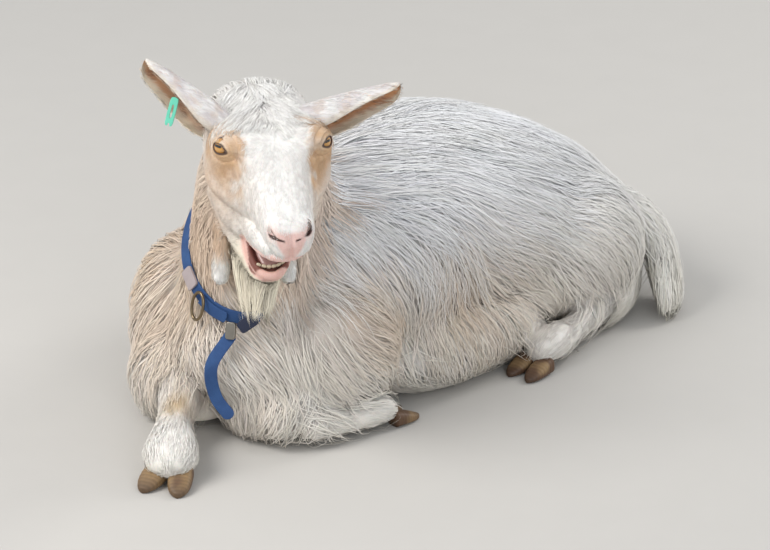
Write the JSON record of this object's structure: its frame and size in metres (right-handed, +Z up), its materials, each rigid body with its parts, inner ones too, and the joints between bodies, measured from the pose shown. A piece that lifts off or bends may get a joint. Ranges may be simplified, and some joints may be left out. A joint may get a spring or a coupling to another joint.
{
  "type": "pygmy goat",
  "caption": "Still life-size pygmy goat lying down with folded legs, one foreleg stretched out, head turned to its left, long pale coat, collar and ear tag.",
  "frame": {"origin": "on the floor under the middle of the whole model's bounding box", "axes": "the trunk lies along Y with the chest towards -Y, +X is the goat's left side, +Z is up"},
  "size_m": [0.4286, 0.816, 0.4306],
  "materials": {
    "coat": "long hair",
    "horn": "satin horn",
    "eye": "wet",
    "tongue": "moist",
    "blue": "woven",
    "dark": "matt",
    "grey": "worn",
    "metal": "worn",
    "tag": "satin"
  },
  "bodies": {
    "root": {"torso": "coat", "neck": "coat", "head": "coat", "jaw": "coat", "tongue": "tongue", "tail": "coat", "foreleg_right": "coat", "foreleg_left": "coat", "forefoot_left": "coat", "hindleg_left": "coat", "hindleg_right": "coat", "claw_fore_right_out": "horn", "claw_fore_right_in": "horn", "claw_fore_left_out": "horn", "claw_fore_left_in": "horn", "claw_hind_left_out": "horn", "claw_hind_left_in": "horn", "claw_hind_right_out": "horn", "claw_hind_right_in": "horn", "ear_left": "coat", "ear_right": "coat", "eye_left": "eye", "eye_right": "eye", "wattle_left": "coat", "wattle_right": "coat", "collar_band": "blue", "collar_slide": "grey", "collar_strap": "blue", "collar_ring": "metal", "collar_buckle": "metal", "collar_keeper": "dark", "collar_end": "blue", "ear_tag": "tag"}
  },
  "joints": []
}
